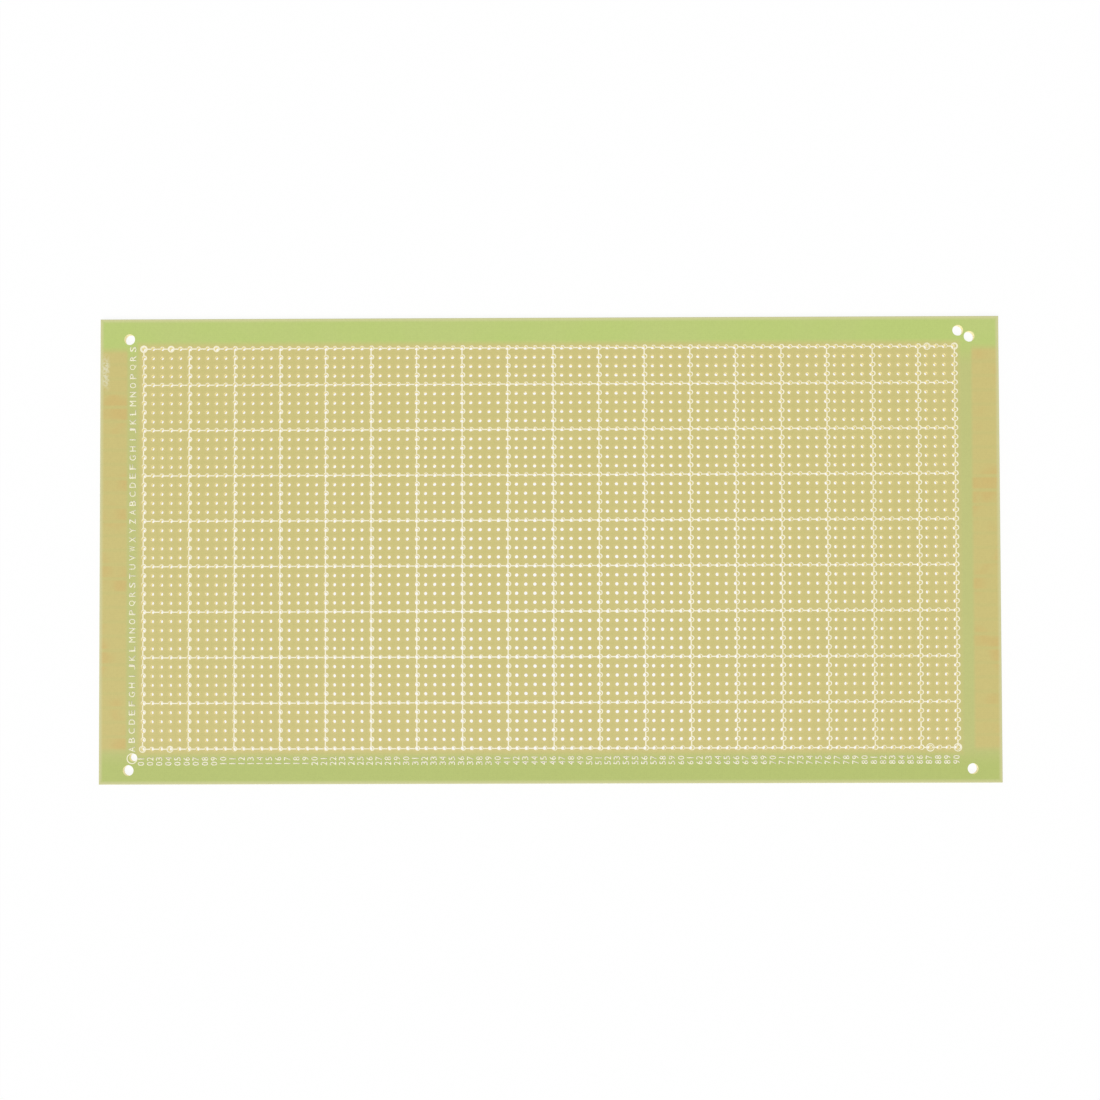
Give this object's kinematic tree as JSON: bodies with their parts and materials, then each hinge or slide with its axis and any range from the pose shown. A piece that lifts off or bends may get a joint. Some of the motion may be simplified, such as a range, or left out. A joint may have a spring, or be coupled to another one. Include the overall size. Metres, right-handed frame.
{
  "type": "prototype board",
  "caption": "Flat rectangular prototype board for soldering components, with a grid of small drilled holes, white counting lines, edge contact fingers and round fixing holes.",
  "frame": {"origin": "centre of the board's outline on the outer face of the solder side, which it lies on", "axes": "+X to the right along the long side, +Y to the rear long side, where the last lettered row is, +Z out of the printed component side"},
  "size_m": [0.251, 0.13, 0.0016],
  "materials": {
    "laminate": "satin",
    "ink": "matt",
    "contact_copper": "satin"
  },
  "bodies": {
    "root": {"laminate": "laminate", "grid_print": "ink", "left_fingers": "contact_copper", "right_fingers": "contact_copper"}
  },
  "joints": []
}
